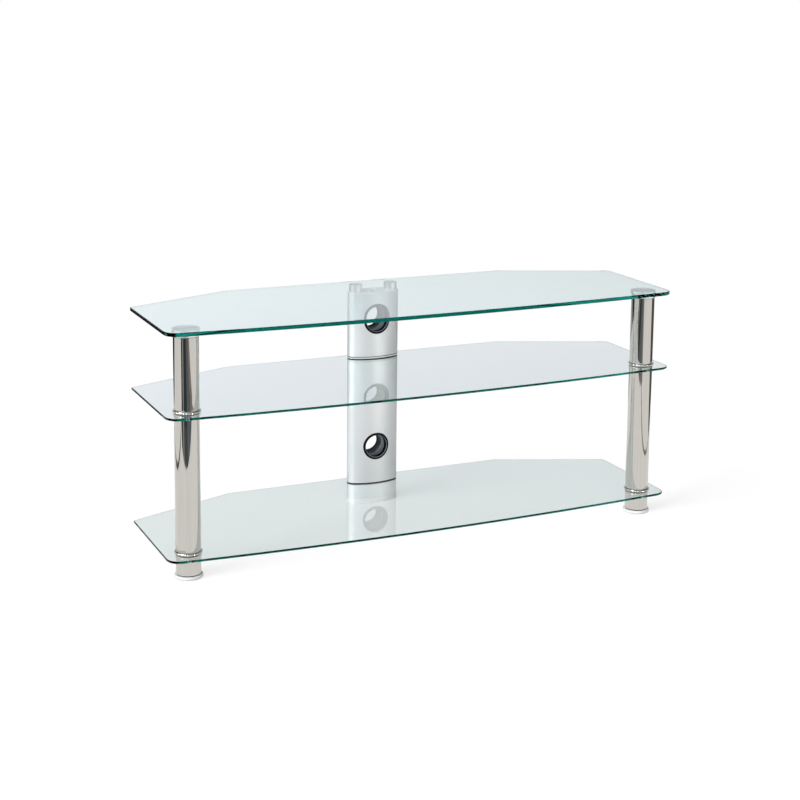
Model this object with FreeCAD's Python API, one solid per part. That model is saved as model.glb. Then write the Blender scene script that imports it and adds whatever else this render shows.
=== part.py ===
"""Glass television stand: three shelves on two chrome legs and one oval cable column.

Millimetres, +Z up, front towards -Y. The origin is on the floor, under the middle of the shelves.
"""
import FreeCAD, Part
import math
import os

# Shelf outline, the same for all three shelves
width = 1150.0
depth = 393.0
front_bow = 23.0                # how far the front edge swells ahead of its two corners
rear_chamfer_width = 242.0      # chamfer at each rear corner, along X
rear_chamfer_depth = 97.5       # chamfer at each rear corner, along Y
front_corner_radius = 28.0
side_corner_radius = 6.0        # where the straight side meets the rear chamfer
back_corner_radius = 12.0       # where the rear chamfer meets the back edge
glass_arris = 1.2               # ground bevel along every glass edge

# Levels, from the floor up
floor_clearance = 45.5          # under the bottom glass
lower_bay_height = 284.0        # between the bottom and the middle glass
upper_bay_height = 162.0        # between the middle and the top glass
shelf_glass_thickness = 5.0
top_glass_thickness = 8.0

# Legs
leg_side_inset = 51.0           # leg axis from the glass side
leg_front_inset = 44.5          # leg axis from the line through the front corners
tube_diameter = 51.0
tube_wall = 1.2
plug_length = 16.0
plug_clearance = 0.1
top_disc_diameter = 55.0
top_disc_thickness = 8.0
top_disc_bevel = 0.8
ring_width = 3.2                # how far a ring stands out from the tube
ring_flat = 1.0                 # width of the flat that a ring stands on
ring_height = 6.0
ring_clearance = 0.1
leg_washer_thickness = 1.0
leg_washer_inset = 0.7          # washer edge from the tube's outer face

# Threads, modelled as plain rods in clearance holes
thread_diameter = 8.0
thread_clearance = 0.05
stud_length = 30.0
stud_disc_depth = 6.0           # how far the top stud enters the disc
glass_hole_clearance = 2.0
boss_hole_clearance = 0.4

# Levelling feet of the legs
foot_height = 7.5
foot_bulge = 3.8                # how far the foot stands out from the tube
foot_floor_round = 3.8          # radius of its rim at the floor
foot_top_round = 2.4            # radius of its rim at the top
foot_tube_gap = 2.0
insert_foot_gap = 0.3           # from the tube's insert, which shows in that gap, to the foot
foot_stud_depth = 4.5           # how far its stud is moulded into the foot
foot_stud_gap = 3.0             # from the foot's stud to the stud above it

# Column: an oval of two shallow arcs front and back and two tight arcs at the sides
column_width = 120.0
column_depth = 54.0
column_side_radius = 18.0
column_wall = 2.0
column_back_gap = 4.0           # column's back from the glass's back edge
column_top_gap = 16.0           # column's cap from the top glass
boss_wall = 3.0                 # round the rod's hole, inside the column
boss_web = 3.0                  # thickness of the web between boss and side wall
pad_diameter = 29.0
pad_bevel = 0.6
rod_pad_depth = 10.0            # how far a rod enters its pad
gasket_thickness = 1.6
gasket_inset = 0.4              # gasket edge from the column's outer face
gasket_width = 5.0
collar_height = 2.6
collar_proud = 0.4
column_foot_height = 12.0
column_foot_proud = 1.4
column_foot_floor = 2.4         # plastic left under the nuts
column_foot_round = 1.4
cap_thickness = 3.0
cap_round = 0.8
cap_hole_diameter = 15.0
tongue_height = 9.0             # tongues of the foot and of the cap inside the column
tongue_clearance = 0.3
tongue_boss_gap = 3.0

# Cable holes and their grommets
cable_hole_diameter = 50.0      # inside the grommet's sleeve
upper_hole_rise = 88.0          # hole axis above the middle glass
lower_hole_rise = 86.0          # hole axis above the bottom glass
grommet_wall = 2.5
grommet_clearance = 0.2
flange_width = 3.3              # how far the flange covers the column beside the hole
flange_thickness = 1.4
flange_seat = 0.05              # clearance between flange and column
rear_ring_lip = 2.5             # how far the rear ring stands into the opening
rear_ring_fit = 0.1             # from the sleeve's end to the rear ring

# Nuts and washers of the column rods
nut_width = 13.0                # across flats
nut_height = 6.5
nut_washer_diameter = 16.0
nut_washer_thickness = 1.6
nut_pocket_clearance = 1.0
rod_below_nut = 0.6

# Levels worked out from the sizes above
bottom_glass_base = floor_clearance
bottom_glass_top = bottom_glass_base + shelf_glass_thickness
middle_glass_base = bottom_glass_top + lower_bay_height
middle_glass_top = middle_glass_base + shelf_glass_thickness
top_glass_base = middle_glass_top + upper_bay_height
column_top = top_glass_base - column_top_gap

# Places worked out from the sizes above
front_line = -depth / 2 + front_bow
back_line = depth / 2
leg_x = width / 2 - leg_side_inset
leg_y = front_line + leg_front_inset
column_y = back_line - column_back_gap - column_depth / 2
rod_x = column_width / 2 - column_side_radius
sides = {"left": -1, "right": 1}

# Radii worked out from the sizes above
tube_radius = tube_diameter / 2
tube_bore = tube_radius - tube_wall
thread_radius = thread_diameter / 2
thread_hole = thread_radius + thread_clearance
glass_hole = thread_radius + glass_hole_clearance
boss_hole = thread_radius + boss_hole_clearance
boss_radius = boss_hole + boss_wall

Z = FreeCAD.Vector(0, 0, 1)
Y = FreeCAD.Vector(0, 1, 0)


def point(x, y, z=0.0):
    return FreeCAD.Vector(x, y, z)


def line(start, end):
    return Part.LineSegment(start, end).toShape()


def arc(start, middle, end):
    return Part.Arc(start, middle, end).toShape()


def rod(radius, low, high, x=0.0, y=0.0):
    """Upright cylinder between two levels."""
    return Part.makeCylinder(radius, high - low, point(x, y, low), Z)


def pipe(outer, inner, low, high, x=0.0, y=0.0):
    return rod(outer, low, high, x, y).cut(rod(inner, low, high, x, y))


def box(x, y, z):
    """Block between the low and high values given for each axis."""
    return Part.makeBox(x[1] - x[0], y[1] - y[0], z[1] - z[0], point(x[0], y[0], z[0]))


def turned(edges, x, y, low):
    """Solid of revolution about an upright axis, from a closed profile in the XZ plane."""
    solid = Part.Face(Part.Wire(edges)).revolve(point(0, 0), Z, 360)
    solid.translate(point(x, y, low))
    return solid


def save(name, *solids):
    shape = solids[0] if len(solids) == 1 else Part.makeCompound(list(solids))
    shape.exportStep("parts/" + name + ".step")


def edges_at_level(shape, level):
    tolerance = 1e-6
    return [e for e in shape.Edges
            if abs(e.BoundBox.ZMin - level) < tolerance and abs(e.BoundBox.ZMax - level) < tolerance]


def upright_edge(shape, x, y):
    """The upright edge that passes nearest to a point in plan."""
    upright = [e for e in shape.Edges if e.BoundBox.ZLength > 0.5 * shape.BoundBox.ZLength]
    return min(upright, key=lambda e: math.hypot(e.BoundBox.Center.x - x, e.BoundBox.Center.y - y))


# Glass shelves

def shelf(low, thickness):
    """Glass plate with a bowed front, rounded front corners and chamfered rear corners."""
    half = width / 2
    back_half = half - rear_chamfer_width
    side_end = back_line - rear_chamfer_depth
    corners = {
        "front": (half, front_line, front_corner_radius),
        "side": (half, side_end, side_corner_radius),
        "back": (back_half, back_line, back_corner_radius),
    }
    outline = Part.Wire([
        arc(point(-half, front_line), point(0, -depth / 2), point(half, front_line)),
        line(point(half, front_line), point(half, side_end)),
        line(point(half, side_end), point(back_half, back_line)),
        line(point(back_half, back_line), point(-back_half, back_line)),
        line(point(-back_half, back_line), point(-half, side_end)),
        line(point(-half, side_end), point(-half, front_line)),
    ])
    plate = Part.Face(outline).extrude(point(0, 0, thickness))
    for x, y, radius in corners.values():
        for side in sides.values():
            plate = plate.makeFillet(radius, [upright_edge(plate, side * x, y)])
    rims = edges_at_level(plate, 0) + edges_at_level(plate, thickness)
    plate = plate.makeChamfer(glass_arris, rims)
    plate.translate(point(0, 0, low))
    return plate


def drilled(plate):
    """Shelf with the holes for the leg studs and the column rods."""
    low = plate.BoundBox.ZMin
    high = plate.BoundBox.ZMax
    for side in sides.values():
        plate = plate.cut(rod(glass_hole, low, high, side * leg_x, leg_y))
        plate = plate.cut(rod(glass_hole, low, high, side * rod_x, column_y))
    return plate


# Leg pieces

def top_disc(x):
    """Disc bonded under the top glass, with a blind threaded hole."""
    low = top_glass_base - top_disc_thickness
    disc = rod(top_disc_diameter / 2, low, top_glass_base, x, leg_y)
    disc = disc.makeChamfer(top_disc_bevel, edges_at_level(disc, low))
    return disc.cut(rod(thread_hole, low, low + stud_disc_depth + thread_clearance, x, leg_y))


def plug(x, low):
    return pipe(tube_bore - plug_clearance, thread_hole, low, low + plug_length, x, leg_y)


def ring(x, low):
    """Half-round trim ring that stands on the glass round the tube's lower end."""
    inner = tube_radius + ring_clearance
    outer = inner + ring_width
    flat = inner + ring_flat
    return turned([
        line(point(inner, 0, 0), point(flat, 0, 0)),
        arc(point(flat, 0, 0), point(outer, 0, ring_height / 2), point(flat, 0, ring_height)),
        line(point(flat, 0, ring_height), point(inner, 0, ring_height)),
        line(point(inner, 0, ring_height), point(inner, 0, 0)),
    ], x, leg_y, low)


def foot(x):
    """Round levelling foot with rounded rims and a blind hole for its moulded-in stud."""
    body = rod(tube_radius + foot_bulge, 0, foot_height, x, leg_y)
    body = body.makeFillet(foot_floor_round, edges_at_level(body, 0))
    body = body.makeFillet(foot_top_round, edges_at_level(body, foot_height))
    return body.cut(rod(thread_hole, foot_height - foot_stud_depth, foot_height, x, leg_y))


def washer(x, low):
    outer = tube_radius - leg_washer_inset
    return pipe(outer, glass_hole, low, low + leg_washer_thickness, x, leg_y)


def save_leg(name, x):
    disc_base = top_glass_base - top_disc_thickness
    upper = (middle_glass_top + leg_washer_thickness, disc_base - leg_washer_thickness)
    lower = (bottom_glass_top + leg_washer_thickness, middle_glass_base - leg_washer_thickness)
    base = (foot_height + foot_tube_gap, bottom_glass_base - leg_washer_thickness)
    insert = (foot_height + insert_foot_gap, base[1])
    middle_stud_base = (middle_glass_base + middle_glass_top - stud_length) / 2
    bottom_stud_base = (bottom_glass_base + bottom_glass_top - stud_length) / 2
    top_stud_base = disc_base + stud_disc_depth - stud_length
    stud_bases = [top_stud_base, middle_stud_base, bottom_stud_base]
    washer_bases = [upper[1], middle_glass_top, lower[1], bottom_glass_top, base[1]]
    foot_stud = (foot_height - foot_stud_depth + thread_clearance, bottom_stud_base - foot_stud_gap)

    save(name + "_top_disc", top_disc(x))
    save(name + "_upper_tube", pipe(tube_radius, tube_bore, *upper, x, leg_y))
    save(name + "_lower_tube", pipe(tube_radius, tube_bore, *lower, x, leg_y))
    save(name + "_base_tube", pipe(tube_radius, tube_bore, *base, x, leg_y))
    save(name + "_upper_plugs", plug(x, upper[0]), plug(x, upper[1] - plug_length))
    save(name + "_lower_plugs", plug(x, lower[0]), plug(x, lower[1] - plug_length))
    save(name + "_base_insert", pipe(tube_bore - plug_clearance, thread_hole, *insert, x, leg_y))
    save(name + "_middle_ring", ring(x, middle_glass_top))
    save(name + "_bottom_ring", ring(x, bottom_glass_top))
    save(name + "_studs", *[rod(thread_radius, low, low + stud_length, x, leg_y) for low in stud_bases])
    save(name + "_washers", *[washer(x, low) for low in washer_bases])
    save(name + "_foot", foot(x))
    save(name + "_foot_stud", rod(thread_radius, *foot_stud, x, leg_y))


# Column pieces

def oval(grow, low, high):
    """Prism of the column's outline, grown outwards by a distance."""
    half_width = column_width / 2 + grow
    half_depth = column_depth / 2 + grow
    side_radius = column_side_radius + grow
    side_centre = half_width - side_radius
    face_radius = (side_centre ** 2 + half_depth ** 2 - side_radius ** 2) / (2 * (half_depth - side_radius))
    turn = math.asin(side_centre / (face_radius - side_radius))
    x = side_centre + side_radius * math.sin(turn)
    y = side_radius * math.cos(turn)
    outline = Part.Wire([
        arc(point(-x, -y), point(0, -half_depth), point(x, -y)),
        arc(point(x, -y), point(half_width, 0), point(x, y)),
        arc(point(x, y), point(0, half_depth), point(-x, y)),
        arc(point(-x, y), point(-half_width, 0), point(-x, -y)),
    ])
    prism = Part.Face(outline).extrude(point(0, 0, high - low))
    prism.translate(point(0, column_y, low))
    return prism


def cable_cylinder(radius, level):
    """Cylinder through the column from front to back, on a cable hole's axis."""
    reach = column_depth
    return Part.makeCylinder(radius, 2 * reach, point(0, column_y - reach, level), Y)


def column_section(low, high, hole_level=None):
    """Hollow oval extrusion with a boss for each rod and, if asked, a cable hole."""
    hollow = oval(-column_wall, low, high)
    holes = []
    for side in sides.values():
        x = side * rod_x
        wall_x = side * (column_width / 2 - column_wall / 2)
        web_y = (column_y - boss_web / 2, column_y + boss_web / 2)
        hollow = hollow.cut(rod(boss_radius, low, high, x, column_y))
        hollow = hollow.cut(box(sorted((x, wall_x)), web_y, (low, high)))
        holes.append(rod(boss_hole, low, high, x, column_y))
    section = oval(0, low, high).cut(hollow)
    for hole in holes:
        section = section.cut(hole)
    if hole_level is not None:
        sleeve_radius = cable_hole_diameter / 2 + grommet_wall
        section = section.cut(cable_cylinder(sleeve_radius + grommet_clearance, hole_level))
    return section


def gasket(low):
    high = low + gasket_thickness
    return oval(-gasket_inset, low, high).cut(oval(-gasket_inset - gasket_width, low, high))


def collar(low):
    high = low + collar_height
    return oval(collar_proud, low, high).cut(oval(-gasket_inset - gasket_width, low, high))


def save_grommet(name, level):
    """Sleeve with a front flange, and the ring that covers its end at the back."""
    bore = cable_hole_diameter / 2
    sleeve_radius = bore + grommet_wall
    flange_radius = sleeve_radius + grommet_clearance + flange_width
    low = level - 2 * flange_radius
    high = level + 2 * flange_radius
    flange_zone = oval(flange_seat + flange_thickness, low, high)
    seat = oval(flange_seat, low, high)
    skin = flange_zone.cut(seat)
    front = box((-column_width, column_width), (column_y - column_depth, column_y), (low, high))
    rear = box((-column_width, column_width), (column_y, column_y + column_depth), (low, high))
    disc = cable_cylinder(flange_radius, level)
    inside = oval(flange_seat - rear_ring_fit, low, high)
    sleeve = cable_cylinder(sleeve_radius, level).common(flange_zone.common(front).fuse(inside))
    flange = disc.common(skin).common(front)
    rear_ring = disc.cut(cable_cylinder(bore - rear_ring_lip, level)).common(skin).common(rear)
    body = sleeve.fuse(flange).cut(cable_cylinder(bore, level)).removeSplitter()
    save(name + "_grommet", body)
    save(name + "_grommet_ring", rear_ring)


def pad(x):
    """Round pad bonded under the top glass, with a blind threaded hole."""
    body = rod(pad_diameter / 2, column_top, top_glass_base, x, column_y)
    body = body.makeChamfer(pad_bevel, edges_at_level(body, column_top))
    hole_end = column_top + rod_pad_depth + thread_clearance
    return body.cut(rod(thread_hole, column_top, hole_end, x, column_y))


def nut(x, high):
    corner = nut_width / math.sqrt(3)
    corners = [point(corner * math.cos(math.radians(60 * i)), corner * math.sin(math.radians(60 * i)))
               for i in range(7)]
    body = Part.Face(Part.makePolygon(corners)).extrude(point(0, 0, nut_height))
    body.translate(point(x, column_y, high - nut_height))
    return body.cut(rod(thread_hole, high - nut_height, high, x, column_y))


def tongue(low, high):
    """Block that fits the column's hollow between the bosses of the two rods."""
    half = rod_x - boss_radius - tongue_boss_gap
    reach_y = (column_y - column_depth, column_y + column_depth)
    return oval(-column_wall - tongue_clearance, low, high).common(box((-half, half), reach_y, (low, high)))


def column_cap():
    """Plate on the column's upper end, with a tongue down into it and a hole in its middle."""
    low = column_top - cap_thickness
    tongue_low = low - tongue_height
    body = oval(0, low, column_top)
    body = body.makeFillet(cap_round, edges_at_level(body, column_top))
    body = body.fuse(tongue(tongue_low, low)).removeSplitter()
    for side in sides.values():
        body = body.cut(rod(boss_hole, low, column_top, side * rod_x, column_y))
    return body.cut(rod(cap_hole_diameter / 2, tongue_low, column_top, 0, column_y))


def column_foot():
    """Oval foot with a tongue up into the base section and a pocket round each nut."""
    body = oval(column_foot_proud, 0, column_foot_height)
    body = body.makeFillet(column_foot_round, edges_at_level(body, 0))
    body = body.fuse(tongue(column_foot_floor, column_foot_height + tongue_height)).removeSplitter()
    pocket = nut_washer_diameter / 2 + nut_pocket_clearance
    for side in sides.values():
        body = body.cut(rod(pocket, column_foot_floor, column_foot_height, side * rod_x, column_y))
    return body


def save_column():
    collar_base = middle_glass_top + gasket_thickness
    upper_base = collar_base + collar_height + gasket_thickness
    upper_top = column_top - cap_thickness
    lower = (bottom_glass_top + gasket_thickness, middle_glass_base - gasket_thickness)
    base = (column_foot_height, bottom_glass_base - gasket_thickness)
    upper_hole = middle_glass_top + upper_hole_rise
    lower_hole = bottom_glass_top + lower_hole_rise
    gasket_bases = [middle_glass_top, collar_base + collar_height, lower[1], bottom_glass_top, base[1]]
    washer_base = column_foot_height - nut_washer_thickness
    rod_base = washer_base - nut_height - rod_below_nut
    rods_x = [side * rod_x for side in sides.values()]
    rod_washers = [pipe(nut_washer_diameter / 2, boss_hole, washer_base, column_foot_height, x, column_y)
                   for x in rods_x]

    save("column_upper", column_section(upper_base, upper_top, upper_hole))
    save("column_lower", column_section(*lower, lower_hole))
    save("column_base", column_section(*base))
    save("column_cap", column_cap())
    save("column_collar", collar(collar_base))
    save("column_gaskets", *[gasket(low) for low in gasket_bases])
    save("column_foot", column_foot())
    save_grommet("upper", upper_hole)
    save_grommet("lower", lower_hole)
    for name, side in sides.items():
        x = side * rod_x
        save(name + "_column_pad", pad(x))
        save(name + "_column_rod", rod(thread_radius, rod_base, column_top + rod_pad_depth, x, column_y))
    save("rod_washers", *rod_washers)
    save("rod_nuts", *[nut(x, washer_base) for x in rods_x])


os.makedirs("parts", exist_ok=True)
save("top_glass", shelf(top_glass_base, top_glass_thickness))
save("middle_glass", drilled(shelf(middle_glass_base, shelf_glass_thickness)))
save("bottom_glass", drilled(shelf(bottom_glass_base, shelf_glass_thickness)))
for side_name, side_sign in sides.items():
    save_leg(side_name, side_sign * leg_x)
save_column()
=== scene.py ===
import math

import bpy
from mathutils import Matrix, Vector


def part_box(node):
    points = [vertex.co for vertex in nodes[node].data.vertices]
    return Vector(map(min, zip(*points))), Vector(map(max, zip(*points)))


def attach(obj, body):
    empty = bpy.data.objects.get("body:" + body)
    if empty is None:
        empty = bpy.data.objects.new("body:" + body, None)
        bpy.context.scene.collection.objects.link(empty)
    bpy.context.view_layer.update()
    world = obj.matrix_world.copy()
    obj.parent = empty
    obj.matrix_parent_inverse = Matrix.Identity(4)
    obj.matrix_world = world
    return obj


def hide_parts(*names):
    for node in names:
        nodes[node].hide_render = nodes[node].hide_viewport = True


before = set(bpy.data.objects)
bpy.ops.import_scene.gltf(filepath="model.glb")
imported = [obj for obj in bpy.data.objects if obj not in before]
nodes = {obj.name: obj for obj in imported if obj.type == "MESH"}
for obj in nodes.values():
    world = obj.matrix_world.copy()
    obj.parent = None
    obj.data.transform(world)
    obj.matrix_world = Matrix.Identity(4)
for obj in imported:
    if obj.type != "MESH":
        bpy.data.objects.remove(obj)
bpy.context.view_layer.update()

scene = bpy.context.scene
scene.view_settings.view_transform = "Standard"

# Light crosses a shelf lengthways by bouncing between its faces, so it needs many bounces
GLASS_BOUNCES = 40
scene.cycles.max_bounces = GLASS_BOUNCES
scene.cycles.transmission_bounces = GLASS_BOUNCES
scene.cycles.glossy_bounces = GLASS_BOUNCES

# Camera at the photograph's viewing angle: place in metres, turns in degrees, lens and sensor in millimetres
CAMERA_PLACE = Vector((-1.4188, -3.1175, 1.1961))
CAMERA_YAW = 24.33
CAMERA_PITCH = 9.37
CAMERA_ROLL = 0.57
CAMERA_LENS = 73.02
CAMERA_SENSOR = 36.0
CAMERA_SHIFT = -0.20

BLACK = (0.0, 0.0, 0.0)
WHITE = (1.0, 1.0, 1.0)
COOL = (0.90, 0.96, 1.0)
WARM = (1.0, 0.98, 0.94)

# Lamps: a heading is the azimuth, from the front towards the right, and the elevation. Headings and spreads
# are in degrees. Metal shows only the lamps that are mirrored, and none shows through glass
LAMPS = {
    "key": dict(heading=(-78.0, 40.0), spread=30.0, strength=1.6, colour=WHITE, mirrored=True),
    "fill": dict(heading=(-40.0, 35.0), spread=60.0, strength=0.8, colour=WHITE, mirrored=False),
    "left_side": dict(heading=(-97.0, 7.0), spread=6.0, strength=0.50, colour=COOL, mirrored=True),
    "left_corner": dict(heading=(-68.0, 7.0), spread=6.0, strength=0.48, colour=COOL, mirrored=True),
    "left_front": dict(heading=(-42.0, 7.0), spread=6.0, strength=0.42, colour=COOL, mirrored=True),
    "front": dict(heading=(-22.0, 3.0), spread=6.0, strength=0.28, colour=COOL, mirrored=True),
    "right_front": dict(heading=(29.0, 3.0), spread=6.0, strength=0.66, colour=WARM, mirrored=True),
}
WORLD_FILL = 0.34

# What mirrors show of the surroundings, by the sine of the height above the horizon
MIRRORED_SKY = [
    (0.00, (1.0, 1.0, 1.0)),
    (0.16, (0.72, 0.70, 0.71)),
    (0.25, (0.73, 0.72, 0.79)),
    (0.34, (0.62, 0.65, 0.64)),
    (0.40, (0.06, 0.06, 0.07)),
    (0.65, (0.06, 0.06, 0.07)),
    (0.90, (0.45, 0.45, 0.46)),
]

# It is brighter towards the left: two headings, as shares of +X, and the strength at each
SKY_HEADINGS = (0.2, 0.6)
SKY_STRENGTHS = (1.25, 0.86)

# White floor that fades into the white surroundings: half its width, and where it fades, in metres from the
# stand's middle. Before that it shows a little darker through glass, as it does in the photograph
FLOOR_REACH = 7.0
FLOOR_FADE = (1.0, 2.6)
FLOOR_COLOUR = (0.38, 0.38, 0.38)
FLOOR_LIFT = 0.69
# Painted shade: rays through glass see the floor this much darker, standing in for the shade round the stand
FLOOR_PAINTED_SHADE_UNDER_GLASS = 0.19

# Painted reflections: glowing patches, which only mirrors show, that stand for the darker floor of the room
# round the white paper. The paper lies square to the camera. Each patch has a colour, then corners, in metres
# to the right across the view and towards the viewer
PAPER_FRONT = 1.094
PAPER_LEFT = -1.22
PAINTED_ROOM_FLOOR_REFLECTIONS = {
    "left_line": (
        (0.06, 0.06, 0.055),
        [(PAPER_LEFT, -0.47), (-1.16, -0.47), (-1.16, 1.4), (PAPER_LEFT, 1.4)],
    ),
    "right_line": (
        (0.25, 0.21, 0.19),
        [(0.63, PAPER_FRONT), (0.71, PAPER_FRONT), (1.185, -0.52), (1.16, -0.52)],
    ),
    "front_line": (
        (0.01, 0.01, 0.01),
        [(-0.99, PAPER_FRONT), (-0.81, PAPER_FRONT), (-1.79, 3.0), (-2.22, 2.74)],
    ),
    "front_gap": (
        (0.35, 0.35, 0.35),
        [(-0.81, PAPER_FRONT), (-0.66, PAPER_FRONT), (-1.32, 3.2), (-1.79, 3.0)],
    ),
    "front_near": (
        (0.085, 0.105, 0.11),
        [(-0.66, PAPER_FRONT), (-0.20, PAPER_FRONT), (-0.20, 1.45), (-0.77, 1.45)],
    ),
    "front_left": (
        (0.045, 0.055, 0.06),
        [(-0.77, 1.45), (-0.20, 1.45), (-0.20, 5.0), (-1.88, 5.0)],
    ),
    "front_middle": (
        (0.14, 0.165, 0.185),
        [(-0.20, PAPER_FRONT), (0.40, PAPER_FRONT), (0.40, 5.0), (-0.20, 5.0)],
    ),
    "front_right": (
        (0.30, 0.25, 0.24),
        [(0.40, PAPER_FRONT), (0.80, PAPER_FRONT), (0.80, 5.0), (0.40, 5.0)],
    ),
    "back_left": (
        (0.04, 0.04, 0.04),
        [(-5.0, -5.0), (-1.25, -5.0), (-1.25, -0.47), (-5.0, -0.47)],
    ),
    "back_right": (
        (0.12, 0.10, 0.09),
        [(1.10, -5.0), (5.0, -5.0), (5.0, -0.30), (1.10, -0.30)],
    ),
    "back": (
        (0.50, 0.50, 0.50),
        [(-1.25, -5.0), (1.10, -5.0), (1.10, -1.0), (-1.25, -1.0)],
    ),
}
# Height of the painted reflection patches above the floor, and how far their colour mottles
ROOM_FLOOR_LEVEL = 0.002
ROOM_FLOOR_MOTTLE = (0.8, 1.2)

# Glass faces stay this far inside the shelf's own, in metres, so that they share none with what they rest on
GLASS_SEAT = 0.00004

# Grommets: distance from the hole's axis and depth behind the column's face, front or back, in millimetres
MILLIMETRES_IN_METRE = 1000
COLUMN_FACE_RADIUS = 120.5
GROMMET_STEPS = 120
GROMMET_FLANGE = [
    (27.5, -0.05), (31.0, -0.05), (30.95, -0.5), (30.6, -1.0), (30.0, -1.35), (29.3, -1.4), (26.5, -1.4),
]
# The rim wears the lighter slate of the lining: a painted highlight along the flange's rounded inner edge
GROMMET_PAINTED_HIGHLIGHT_RIM = [(26.3, -1.4), (25.8, -1.2), (25.4, -0.8)]
GROMMET_THROAT = [(25.2, -0.3), (25.0, 0.6), (25.0, 11.0)]
GROMMET_LINING = [(24.7, 11.2), (24.7, 22.0)]
GROMMET_END = [(24.7, -0.1), (27.5, -0.1)]
REAR_RING = [
    (22.6, 0.05), (22.5, 0.3), (22.5, 1.1), (22.8, 1.35), (23.3, 1.4), (29.6, 1.4), (30.4, 1.1), (30.9, 0.6),
    (31.0, 0.05),
]

# The middle of a noise's values, which holds nearly all of them
NOISE_MIDDLE = (0.3, 0.7)

# How far a moulded surface's roughness goes up and down
MOULDED_ROUGHNESS_PLAY = 0.06


# Node helpers

def add(tree, kind, **values):
    """A new node, with its sockets set by name."""
    made = tree.nodes.new("ShaderNode" + kind)
    for name, value in values.items():
        made.inputs[name.replace("_", " ")].default_value = value
    return made


def link(tree, source, target):
    tree.links.new(source, target)


def empty_tree(owner):
    """The node tree of a material or world, with nothing in it."""
    owner.use_nodes = True
    owner.node_tree.nodes.clear()
    return owner.node_tree


def set_surface(tree, kind, surface):
    """Gives a tree the output node of its kind, and the surface that it shows."""
    output = add(tree, kind)
    link(tree, surface, output.inputs["Surface"])
    return output


def calculate(tree, operation, *terms):
    """Result of a sum on terms, each another node's output or a number."""
    node = add(tree, "Math")
    node.operation = operation
    for place, term in zip(node.inputs, terms):
        if isinstance(term, bpy.types.NodeSocket):
            link(tree, term, place)
        else:
            place.default_value = term
    return node.outputs["Value"]


def rescale(tree, value, before, after, smooth=False):
    """Maps one range of values to another, and holds it at the ends."""
    node = add(tree, "MapRange", From_Min=before[0], From_Max=before[1], To_Min=after[0], To_Max=after[1])
    if smooth:
        node.interpolation_type = "SMOOTHSTEP"
    link(tree, value, node.inputs["Value"])
    return node.outputs["Result"]


def mix_shaders(tree, share, first, second):
    """The first shader where the share is 0, and the second where it is 1."""
    node = add(tree, "MixShader")
    link(tree, share, node.inputs["Fac"])
    link(tree, first, node.inputs[1])
    link(tree, second, node.inputs[2])
    return node.outputs["Shader"]


def grain(tree, scale, detail=2.0, stretch=(1.0, 1.0, 1.0)):
    """Noise fixed to the piece, in features per metre."""
    place = add(tree, "TexCoord")
    mapping = add(tree, "Mapping", Scale=stretch)
    noise = add(tree, "TexNoise", Scale=scale, Detail=detail)
    link(tree, place.outputs["Object"], mapping.inputs["Vector"])
    link(tree, mapping.outputs["Vector"], noise.inputs["Vector"])
    return noise.outputs["Fac"]


def colour_ramp(tree, value, stops):
    """Colours between stops, each a position and a colour."""
    ramp = add(tree, "ValToRGB")
    elements = ramp.color_ramp.elements
    while len(elements) < len(stops):
        elements.new(0.5)
    for element, (position, colour) in zip(elements, stops):
        element.position = position
        element.color = (*colour, 1.0)
    link(tree, value, ramp.inputs["Fac"])
    return ramp.outputs["Color"]


def blend_colours(tree, noise, dark, light):
    """Colours between two, spread over the middle of a noise."""
    return colour_ramp(tree, noise, list(zip(NOISE_MIDDLE, (dark, light))))


def set_roughness(tree, shader, noise, low, high):
    """Roughness between two values, spread over the middle of a noise."""
    link(tree, rescale(tree, noise, NOISE_MIDDLE, (low, high)), shader.inputs["Roughness"])


def set_bump(tree, shader, noise, height, strength):
    """Surface relief from a noise, of a height in metres."""
    node = add(tree, "Bump", Strength=strength, Distance=height)
    link(tree, noise, node.inputs["Height"])
    link(tree, node.outputs["Normal"], shader.inputs["Normal"])


# Materials

def new_material(name):
    """A material with one shader, its tree, the shader and the output node."""
    material = bpy.data.materials.new(name)
    tree = empty_tree(material)
    shader = add(tree, "BsdfPrincipled")
    output = set_surface(tree, "OutputMaterial", shader.outputs["BSDF"])
    return material, tree, shader, output


def new_metal(name, metallic=1.0):
    """A material with one metal shader, its tree and the shader."""
    material, tree, shader, _ = new_material(name)
    shader.inputs["Metallic"].default_value = metallic
    return material, tree, shader


def clear_glass():
    """Float glass: clear through its thickness, green along its length, with edges that mirror nothing."""
    material, tree, shader, output = new_material("clear_glass")
    shader.inputs["Base Color"].default_value = (*WHITE, 1.0)
    shader.inputs["Transmission Weight"].default_value = 1.0
    shader.inputs["IOR"].default_value = 1.52
    smears = grain(tree, scale=9.0, detail=3.0)
    set_roughness(tree, shader, smears, low=0.0, high=0.006)
    place = add(tree, "TexCoord")
    normal = add(tree, "SeparateXYZ")
    link(tree, place.outputs["Normal"], normal.inputs["Vector"])
    upright = calculate(tree, "ABSOLUTE", normal.outputs["Z"])
    faces = colour_ramp(tree, upright, [(0.8, BLACK), (0.95, WHITE)])
    link(tree, faces, shader.inputs["Specular Tint"])
    depth = add(tree, "VolumeAbsorption", Color=(0.0, 0.715, 0.67, 1.0), Density=14.7)
    link(tree, depth.outputs["Volume"], output.inputs["Volume"])
    return material


def chrome():
    """Bright plated steel tube with faint draw lines along it and wiping marks."""
    material, tree, shader = new_metal("chrome")
    lines = grain(tree, scale=420.0, stretch=(1.0, 1.0, 0.012))
    tone = blend_colours(tree, lines, dark=(0.545, 0.527, 0.487), light=(0.585, 0.567, 0.527))
    link(tree, tone, shader.inputs["Base Color"])
    wipes = grain(tree, scale=160.0, detail=3.0, stretch=(1.0, 1.0, 0.15))
    set_roughness(tree, shader, wipes, low=0.03, high=0.07)
    set_bump(tree, shader, lines, height=0.00004, strength=0.25)
    return material


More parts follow.
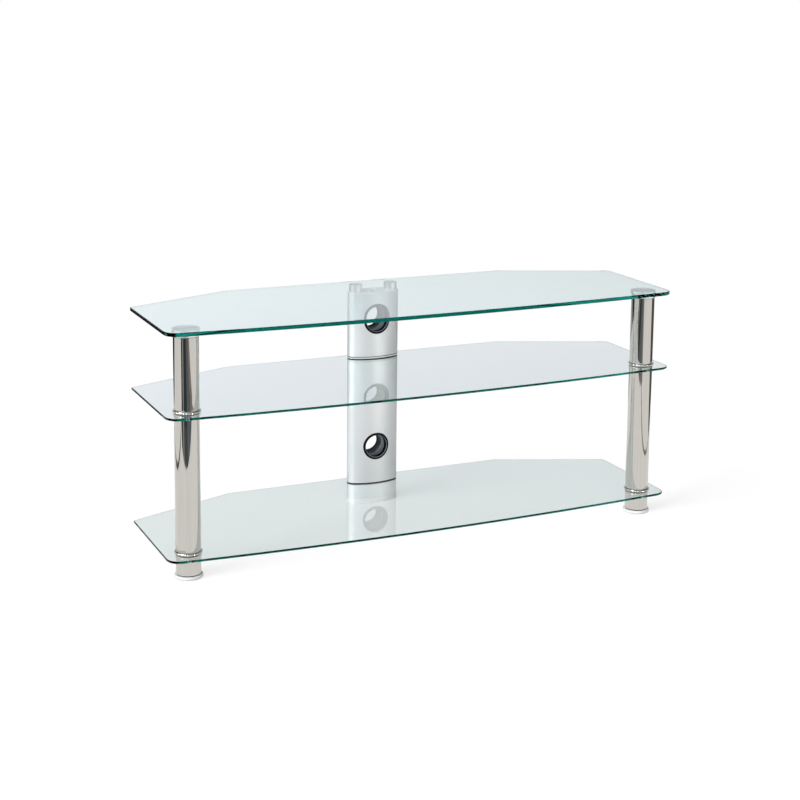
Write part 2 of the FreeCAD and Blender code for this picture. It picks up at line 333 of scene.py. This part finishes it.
def turned_steel():
    """Turned end face or disc, brushed in rings."""
    material, tree, shader = new_metal("turned_steel")
    brushed = grain(tree, scale=900.0)
    tone = blend_colours(tree, brushed, dark=(0.74, 0.74, 0.73), light=(0.84, 0.84, 0.83))
    link(tree, tone, shader.inputs["Base Color"])
    set_roughness(tree, shader, brushed, low=0.24, high=0.36)
    shader.inputs["Anisotropic"].default_value = 0.7
    rings = add(tree, "Tangent")
    rings.direction_type = "RADIAL"
    rings.axis = "Z"
    link(tree, rings.outputs["Tangent"], shader.inputs["Tangent"])
    set_bump(tree, shader, brushed, height=0.00002, strength=0.3)
    return material


def silver_paint():
    """Satin silver coat with a fine metal flake."""
    material, tree, shader = new_metal("silver_paint", metallic=0.85)
    flake = grain(tree, scale=2600.0, detail=1.0)
    tone = blend_colours(tree, flake, dark=(0.565, 0.572, 0.578), light=(0.645, 0.652, 0.658))
    link(tree, tone, shader.inputs["Base Color"])
    wear = grain(tree, scale=60.0)
    set_roughness(tree, shader, wear, low=0.44, high=0.52)
    set_bump(tree, shader, flake, height=0.00002, strength=0.4)
    return material


def zinc_steel():
    """Zinc-plated steel with a mottled, slightly blue and yellow tone."""
    material, tree, shader = new_metal("zinc_steel")
    mottle = grain(tree, scale=420.0, detail=3.0)
    tone = blend_colours(tree, mottle, dark=(0.52, 0.55, 0.60), light=(0.66, 0.64, 0.58))
    link(tree, tone, shader.inputs["Base Color"])
    set_roughness(tree, shader, mottle, low=0.28, high=0.42)
    return material


def moulded(name, dark, light, roughness, texture, gloss=0.5):
    """Moulded plastic or rubber with a fine surface texture of so many grains per metre."""
    material, tree, shader, _ = new_material(name)
    shader.inputs["Specular IOR Level"].default_value = gloss
    patches = grain(tree, scale=70.0, detail=3.0)
    link(tree, blend_colours(tree, patches, dark, light), shader.inputs["Base Color"])
    fine = grain(tree, scale=texture)
    low = roughness - MOULDED_ROUGHNESS_PLAY
    high = roughness + MOULDED_ROUGHNESS_PLAY
    set_roughness(tree, shader, fine, low, high)
    set_bump(tree, shader, fine, height=0.00004, strength=0.5)
    return material


FINISHES = {
    "clear_glass": clear_glass(),
    "chrome": chrome(),
    "silver_paint": silver_paint(),
    "black_plastic": moulded(
        "black_plastic", dark=(0.002, 0.002, 0.003), light=(0.004, 0.004, 0.005),
        roughness=0.3, texture=1800.0, gloss=0.05,
    ),
    "black_rubber": moulded(
        "black_rubber", dark=(0.008, 0.008, 0.008), light=(0.014, 0.014, 0.014),
        roughness=0.6, texture=2400.0,
    ),
    "pale_plastic": moulded(
        "pale_plastic", dark=(0.68, 0.68, 0.67), light=(0.74, 0.74, 0.73),
        roughness=0.42, texture=1500.0,
    ),
    "zinc_steel": zinc_steel(),
}
# Slate of the grommet's lining, partly its own colour and partly painted light: made lighter to stand in for
# the light that reaches into the hole. The rim ring wears it as a painted highlight
LINING_AND_PAINTED_HIGHLIGHT = moulded(
    "slate_lining_and_painted_highlight", dark=(0.12, 0.145, 0.165), light=(0.165, 0.195, 0.22),
    roughness=0.22, texture=1200.0,
)
CAP = moulded(
    "silver_moulding", dark=(0.64, 0.65, 0.66), light=(0.71, 0.72, 0.73),
    roughness=0.34, texture=1500.0,
)
TURNED = turned_steel()

# Nodes whose finish isn't the one of their slot
OWN_FINISHES = {
    "left_top_disc": TURNED,
    "right_top_disc": TURNED,
    "left_column_pad": TURNED,
    "right_column_pad": TURNED,
    "column_collar": TURNED,
    "column_cap": CAP,
}

for name, node in nodes.items():
    for place in node.material_slots:
        slot = place.material.name.split(".")[0]
        place.material = OWN_FINISHES.get(name, FINISHES[slot])


# Pieces that stand for CAD nodes

def add_piece(name, mesh, slot, node_name, *more_finishes):
    """A visible piece of the stand with a slot's finish, and any others it has, in place of a CAD node."""
    piece = bpy.data.objects.new(name, mesh)
    scene.collection.objects.link(piece)
    for finish in (FINISHES[slot], *more_finishes):
        mesh.materials.append(finish)
    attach(piece, "stand")
    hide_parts(node_name)
    return piece


def make_shelf(name):
    """Glass shelf a hair thinner than its solid, which lets the light of the lamps through."""
    mesh = nodes[name].data.copy()
    mesh.materials.clear()
    low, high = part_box(name)
    middle = (low[2] + high[2]) / 2
    keep = 1 - 2 * GLASS_SEAT / (high[2] - low[2])
    for vertex in mesh.vertices:
        vertex.co.z = middle + (vertex.co.z - middle) * keep
    shelf = add_piece(name.replace("glass", "shelf"), mesh, "clear_glass", name)
    shelf.visible_shadow = False
    shelf.visible_diffuse = False


def face_fall(x):
    """How far the column's face has curved away at a distance from its middle, in millimetres."""
    return COLUMN_FACE_RADIUS - math.sqrt(COLUMN_FACE_RADIUS ** 2 - x ** 2)


def ring_mesh(name, profile, level):
    """Closed ring round a cable hole: a profile swept round it, which follows the column's curved faces.

    A point of the profile has a radius, a depth, the face that it is measured from and a material's number.
    """
    low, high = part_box("column_lower")
    points = []
    for step in range(GROMMET_STEPS):
        angle = math.tau * step / GROMMET_STEPS
        for radius, depth, side, _ in profile:
            x = radius * math.cos(angle)
            if side == "front":
                y = low[1] + (face_fall(x) + depth) / MILLIMETRES_IN_METRE
            else:
                y = high[1] - (face_fall(x) - depth) / MILLIMETRES_IN_METRE
            z = level + radius * math.sin(angle) / MILLIMETRES_IN_METRE
            points.append((x / MILLIMETRES_IN_METRE, y, z))
    count = len(profile)
    faces = []
    for step in range(GROMMET_STEPS):
        here = step * count
        after = (step + 1) % GROMMET_STEPS * count
        for i in range(count):
            j = (i + 1) % count
            faces.append((here + i, here + j, after + j, after + i))
    mesh = bpy.data.meshes.new(name)
    mesh.from_pydata(points, [], faces)
    numbers = [number for *_, number in profile]
    for face in mesh.polygons:
        face.material_index = numbers[face.index % count]
    mesh.shade_smooth()
    return mesh


def tagged(points, side, number):
    """Points of a profile, with the face and the material's number that they share."""
    return [(radius, depth, side, number) for radius, depth in points]


def make_grommet(name):
    """Flanged sleeve with a slate lining, a slate rim that is a painted highlight, and the ring that covers
    its end at the back.
    """
    low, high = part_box(name)
    level = (low[2] + high[2]) / 2
    plastic = 0
    slate = 1
    sleeve = tagged(GROMMET_FLANGE, "front", plastic)
    sleeve += tagged(GROMMET_PAINTED_HIGHLIGHT_RIM, "front", slate)
    sleeve += tagged(GROMMET_THROAT, "front", plastic)
    sleeve += tagged(GROMMET_LINING, "front", slate)
    sleeve += tagged(GROMMET_END, "back", plastic)
    rear = tagged(REAR_RING, "back", plastic)
    sleeve_mesh = ring_mesh(name + "_sleeve", sleeve, level)
    rear_mesh = ring_mesh(name + "_rear", rear, level)
    add_piece(name + "_sleeve", sleeve_mesh, "black_plastic", name, LINING_AND_PAINTED_HIGHLIGHT)
    add_piece(name + "_rear", rear_mesh, "black_plastic", name + "_ring")


for name in ("top_glass", "middle_glass", "bottom_glass"):
    make_shelf(name)
for name in ("upper_grommet", "lower_grommet"):
    make_grommet(name)


# Studio

def shown_ray(tree):
    """1 for rays that show the surroundings (straight, mirrored or through glass), and the kinds of ray."""
    kinds = add(tree, "LightPath").outputs
    direct = calculate(tree, "MAXIMUM", kinds["Is Camera Ray"], kinds["Is Glossy Ray"])
    shown = calculate(tree, "MAXIMUM", direct, kinds["Is Transmission Ray"])
    return shown, kinds


def make_world():
    """White surroundings, darker overhead for what mirrors them, and a soft fill for the rest."""
    world = bpy.data.worlds.new("studio")
    scene.world = world
    tree = empty_tree(world)
    shown, kinds = shown_ray(tree)
    place = add(tree, "TexCoord")
    towards = add(tree, "SeparateXYZ")
    link(tree, place.outputs["Generated"], towards.inputs["Vector"])
    fill = add(tree, "Background", Color=(*WHITE, 1.0), Strength=WORLD_FILL)
    white = add(tree, "Background", Color=(*WHITE, 1.0), Strength=1.0)
    mirrored = add(tree, "Background")
    strength = rescale(tree, towards.outputs["X"], SKY_HEADINGS, SKY_STRENGTHS)
    link(tree, strength, mirrored.inputs["Strength"])
    link(tree, colour_ramp(tree, towards.outputs["Z"], MIRRORED_SKY), mirrored.inputs["Color"])
    glossy = kinds["Is Glossy Ray"]
    pale = mix_shaders(tree, glossy, white.outputs["Background"], mirrored.outputs["Background"])
    set_surface(tree, "OutputWorld", mix_shaders(tree, shown, fill.outputs["Background"], pale))


def add_plane(name, corners):
    """Four-cornered sheet of the studio, which isn't part of the stand."""
    mesh = bpy.data.meshes.new(name)
    mesh.from_pydata(corners, [], [(0, 1, 2, 3)])
    made = bpy.data.objects.new(name, mesh)
    scene.collection.objects.link(made)
    return made


def make_floor():
    """White paper floor that keeps the shadow near the stand and fades into the white beyond."""
    reach = FLOOR_REACH
    corners = [(-reach, -reach, 0), (reach, -reach, 0), (reach, reach, 0), (-reach, reach, 0)]
    floor = add_plane("floor", corners)
    material = bpy.data.materials.new("paper")
    tree = empty_tree(material)
    shown, kinds = shown_ray(tree)
    lifted = calculate(tree, "MULTIPLY", shown, FLOOR_LIFT)
    # Painted shade: for rays through glass the floor's lift is less, standing in for the shade round the
    # stand
    through_glass = kinds["Is Transmission Ray"]
    lift_less_painted_shade = calculate(tree, "MULTIPLY_ADD", through_glass, -FLOOR_PAINTED_SHADE_UNDER_GLASS, lifted)
    paper = add(tree, "BsdfDiffuse", Color=(*FLOOR_COLOUR, 1.0))
    lift = add(tree, "Emission", Color=(*WHITE, 1.0))
    link(tree, lift_less_painted_shade, lift.inputs["Strength"])
    near = add(tree, "AddShader")
    link(tree, paper.outputs["BSDF"], near.inputs[0])
    link(tree, lift.outputs["Emission"], near.inputs[1])
    far = add(tree, "Emission", Color=(*WHITE, 1.0))
    link(tree, shown, far.inputs["Strength"])
    place = add(tree, "TexCoord")
    distance = add(tree, "VectorMath")
    distance.operation = "LENGTH"
    link(tree, place.outputs["Object"], distance.inputs[0])
    faded = rescale(tree, distance.outputs["Value"], FLOOR_FADE, (0.0, 1.0), smooth=True)
    surface = mix_shaders(tree, faded, near.outputs["Shader"], far.outputs["Emission"])
    set_surface(tree, "OutputMaterial", surface)
    floor.data.materials.append(material)


def make_painted_floor_reflection(name, colour, places):
    """Glowing patch of painted reflection for the room's floor beyond the paper, seen only in mirror
    surfaces.
    """
    yaw = math.radians(CAMERA_YAW)
    right = Vector((math.cos(yaw), -math.sin(yaw), 0.0))
    near = Vector((-math.sin(yaw), -math.cos(yaw), 0.0))
    lift = Vector((0.0, 0.0, ROOM_FLOOR_LEVEL))
    patch = add_plane("painted_reflection_of_room_floor_" + name, [right * u + near * w + lift for u, w in places])
    material = bpy.data.materials.new("painted_reflection_of_room_floor_" + name)
    tree = empty_tree(material)
    glow = add(tree, "Emission", Strength=1.0)
    mottle = grain(tree, scale=5.0)
    dark, light = ([share * value for value in colour] for share in ROOM_FLOOR_MOTTLE)
    link(tree, blend_colours(tree, mottle, dark, light), glow.inputs["Color"])
    set_surface(tree, "OutputMaterial", glow.outputs["Emission"])
    patch.data.materials.append(material)
    patch.visible_camera = False
    patch.visible_transmission = False
    patch.visible_diffuse = False
    patch.visible_shadow = False


def make_lamp(name, heading, spread, strength, colour, mirrored):
    """Distant soft lamp, which doesn't show through glass."""
    azimuth, elevation = (math.radians(angle) for angle in heading)
    across = math.cos(elevation)
    towards = Vector((math.sin(azimuth) * across, -math.cos(azimuth) * across, math.sin(elevation)))
    lamp = bpy.data.lights.new(name, "SUN")
    lamp.energy = strength
    lamp.color = colour
    lamp.angle = math.radians(spread)
    made = bpy.data.objects.new(name, lamp)
    made.rotation_mode = "QUATERNION"
    made.rotation_quaternion = towards.to_track_quat("Z", "Y")
    made.visible_glossy = mirrored
    made.visible_transmission = False
    scene.collection.objects.link(made)


def make_camera():
    """Camera turned by its yaw, then its pitch, then its roll."""
    yaw = math.radians(CAMERA_YAW)
    pitch = math.radians(CAMERA_PITCH)
    roll = math.radians(CAMERA_ROLL)
    forward = Vector((math.sin(yaw) * math.cos(pitch), math.cos(yaw) * math.cos(pitch), -math.sin(pitch)))
    level = Vector((math.cos(yaw), -math.sin(yaw), 0.0))
    rise = level.cross(forward)
    right = level * math.cos(roll) + rise * math.sin(roll)
    up = rise * math.cos(roll) - level * math.sin(roll)
    lens = bpy.data.cameras.new("camera")
    lens.lens = CAMERA_LENS
    lens.sensor_width = CAMERA_SENSOR
    lens.shift_y = CAMERA_SHIFT
    made = bpy.data.objects.new("camera", lens)
    turn = Matrix((right, up, -forward)).transposed().to_4x4()
    made.matrix_world = Matrix.Translation(CAMERA_PLACE) @ turn
    scene.collection.objects.link(made)
    scene.camera = made


make_world()
make_floor()
for name, (colour, places) in PAINTED_ROOM_FLOOR_REFLECTIONS.items():
    make_painted_floor_reflection(name, colour, places)
for name, values in LAMPS.items():
    make_lamp(name, **values)
make_camera()
